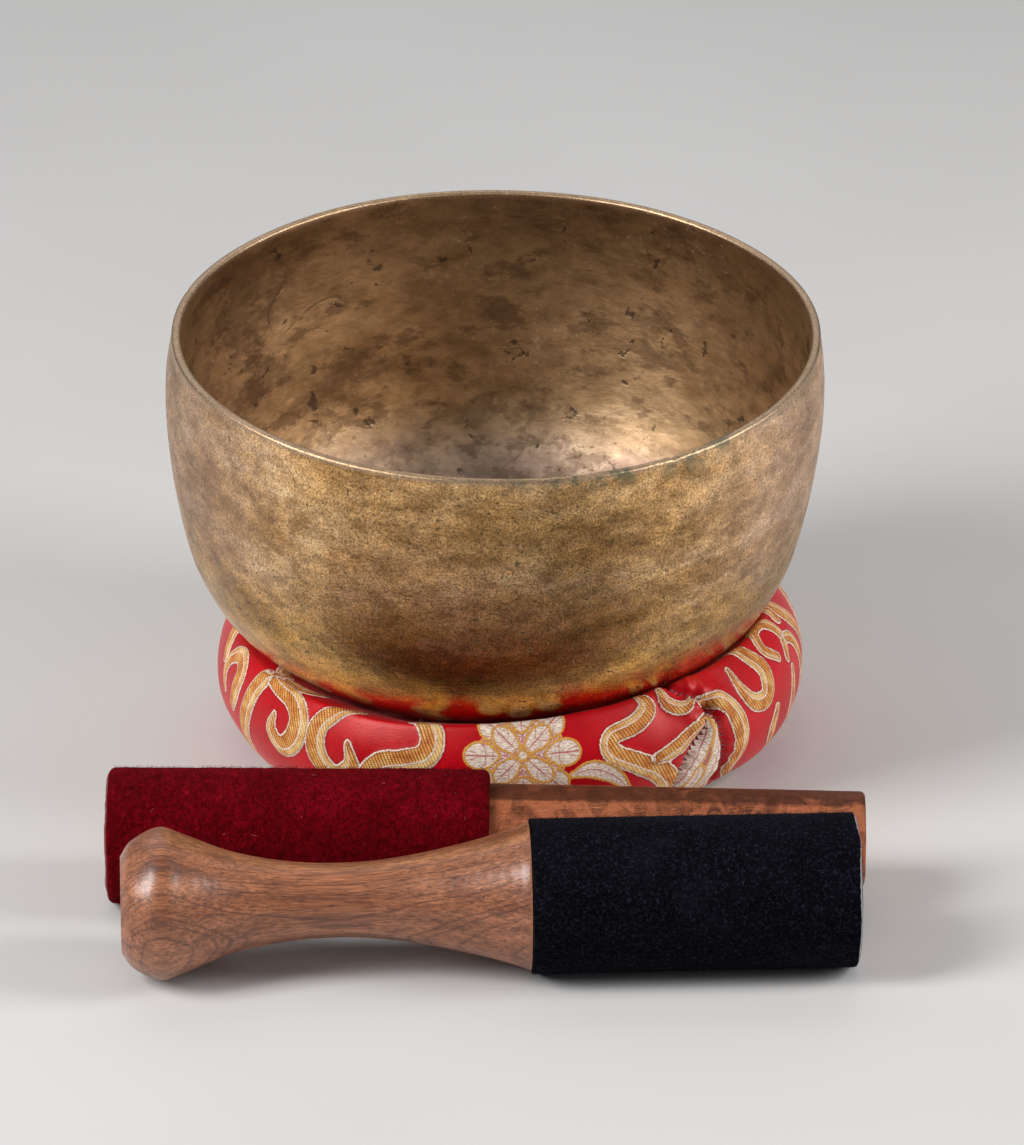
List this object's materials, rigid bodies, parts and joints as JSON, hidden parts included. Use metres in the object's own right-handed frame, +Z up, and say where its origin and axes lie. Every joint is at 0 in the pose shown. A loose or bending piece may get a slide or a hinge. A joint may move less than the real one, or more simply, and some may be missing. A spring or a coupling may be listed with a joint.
{
  "type": "singing bowl set",
  "caption": "Hammered bronze singing bowl leaning on a brocade ring cushion, with a felt-wrapped striker and a suede-wrapped turned mallet in front.",
  "frame": {"origin": "middle of the box round the whole set, on the table it stands on", "axes": "+Z up, +X to the player's right along the mallets, +Y away from the player, from the mallets to the bowl"},
  "size_m": [0.2002, 0.254, 0.1271],
  "materials": {
    "bronze": "aged hand-hammered bronze, satin, with a polished rim",
    "brocade": "crimson satin brocade with gold scrolls",
    "silver_brocade": "silver-thread brocade with red and gold veins",
    "stuffing": "loose cotton wadding",
    "seam_thread": "dark red sewing thread",
    "walnut": "red-brown turned hardwood, satin lacquer",
    "red_felt": "thick pressed wool felt",
    "black_suede": "black suede, nap outward"
  },
  "bodies": {
    "cushion": {"cushion_cover": "brocade", "cushion_gusset": "silver_brocade", "cushion_filling": "stuffing", "cover_inner_seam": "seam_thread", "gusset_left_seam": "seam_thread", "gusset_right_seam": "seam_thread"},
    "bowl": {"bowl": "bronze"},
    "felt_mallet": {"felt_mallet_stick": "walnut", "felt_sleeve": "red_felt"},
    "suede_mallet": {"suede_mallet_handle": "walnut", "suede_sleeve": "black_suede"}
  },
  "joints": [
    {"name": "bowl_lift", "type": "slide", "parent": "cushion", "child": "bowl", "axis": [0, 0, 1], "range_m": [0, 0.12]},
    {"name": "felt_mallet_lift", "type": "slide", "parent": "cushion", "child": "felt_mallet", "axis": [0, -0.1045, 0.9945], "range_m": [0, 0.2]},
    {"name": "suede_mallet_lift", "type": "slide", "parent": "cushion", "child": "suede_mallet", "axis": [0, -0.1736, 0.9848], "range_m": [0, 0.2]}
  ]
}
